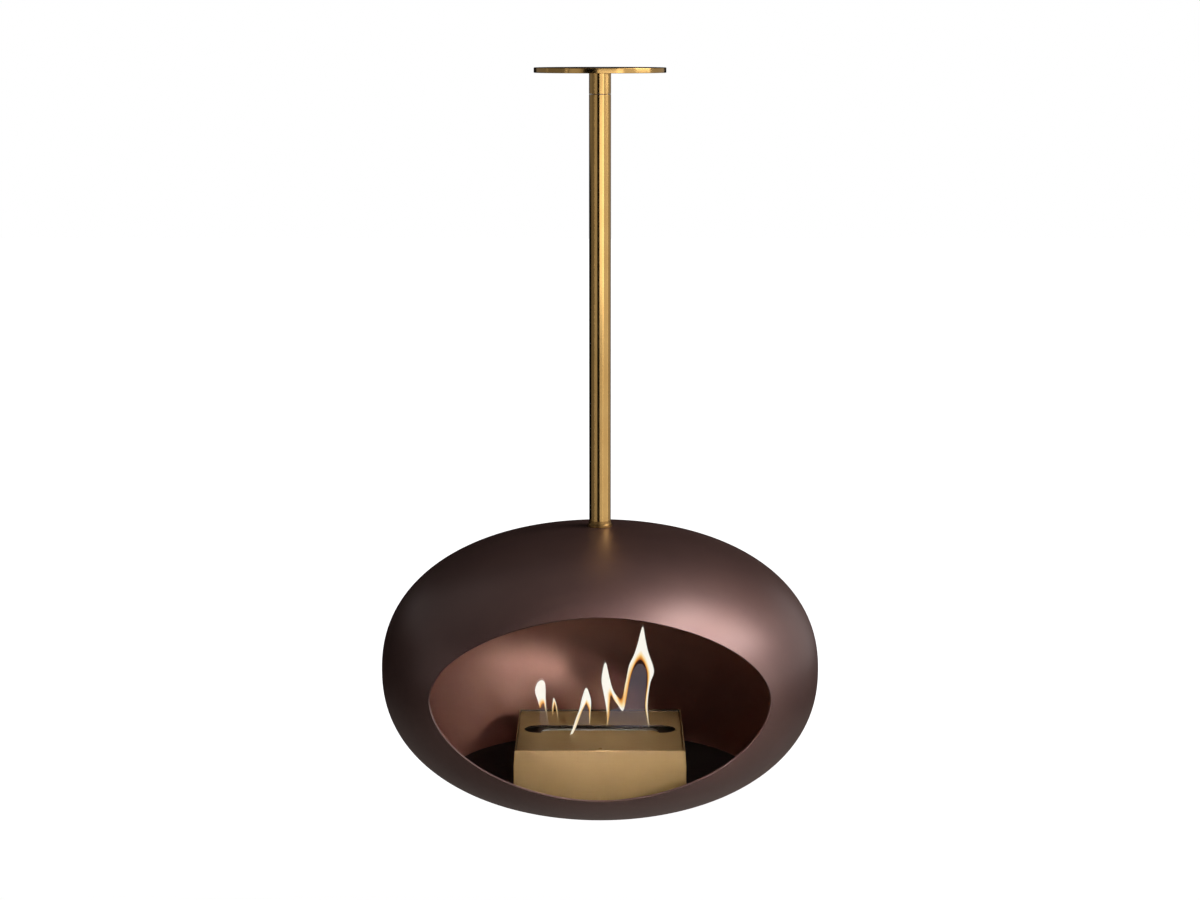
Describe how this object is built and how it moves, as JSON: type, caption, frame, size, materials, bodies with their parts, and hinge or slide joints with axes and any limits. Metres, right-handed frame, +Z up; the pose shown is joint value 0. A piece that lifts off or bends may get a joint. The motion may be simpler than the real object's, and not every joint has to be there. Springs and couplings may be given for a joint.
{
  "type": "hanging fireplace",
  "caption": "Flattened steel bowl with a wide open mouth and a brass alcohol burner inside, hung on a brass pole that turns under a round ceiling plate.",
  "frame": {"origin": "centre of the ceiling plate's top face, which lies against the ceiling", "axes": "+Z points up into the ceiling along the pole, -Y points out of the bowl's mouth, +X is to the right of someone who looks into the mouth"},
  "size_m": [0.65, 0.5936, 1.0985],
  "materials": {
    "polished_brass": "polished, lacquered",
    "satin_brass": "satin",
    "mocha_coat": "satin metallic powder coat",
    "black_coat": "matt heat-proof paint",
    "black_steel": "blackened",
    "plain_steel": "zinc plated",
    "bearing_steel": "ground",
    "bronze": "sintered",
    "stainless_steel": "brushed, heat tinted",
    "ceramic_wool": "loose fibre",
    "fibre_board": "pressed fibre",
    "grey_cap": "matt"
  },
  "bodies": {
    "ceiling_mount": {"ceiling_plate": "polished_brass", "dust_cap": "grey_cap", "swivel_sleeve": "polished_brass", "guide_bush": "bronze", "bearing_lower_race": "bearing_steel"},
    "hanging_bowl": {"bearing_balls": "bearing_steel", "bearing_upper_race": "bearing_steel", "swivel_spindle": "bearing_steel", "pole_tube": "polished_brass", "pole_top_plug": "plain_steel", "pole_bottom_plug": "plain_steel", "base_collar": "polished_brass", "bowl_shell": "mocha_coat", "hub_plate": "black_coat", "bowl_washer": "plain_steel", "bowl_bolt": "plain_steel", "floor_lugs": "black_coat", "floor_plate": "black_coat", "floor_screws": "black_steel", "cradle_strips": "black_coat", "cradle_screws": "black_steel", "cradle_nuts": "plain_steel", "burner_casing": "satin_brass", "plate_ledges": "satin_brass", "tank_pads": "fibre_board", "fuel_tank": "stainless_steel", "tank_lid": "stainless_steel", "ceramic_wool": "ceramic_wool", "damper_rails": "stainless_steel", "burner_plate": "satin_brass"},
    "damper": {"damper_plate": "satin_brass"}
  },
  "joints": [
    {"name": "swivel", "type": "hinge", "parent": "ceiling_mount", "child": "hanging_bowl", "pos_m": [0, 0, -0.035], "axis": [0, 0, 1], "continuous": true},
    {"name": "damper_slide", "type": "slide", "parent": "hanging_bowl", "child": "damper", "axis": [0, 1, 0], "range_m": [0, 0.028]}
  ]
}
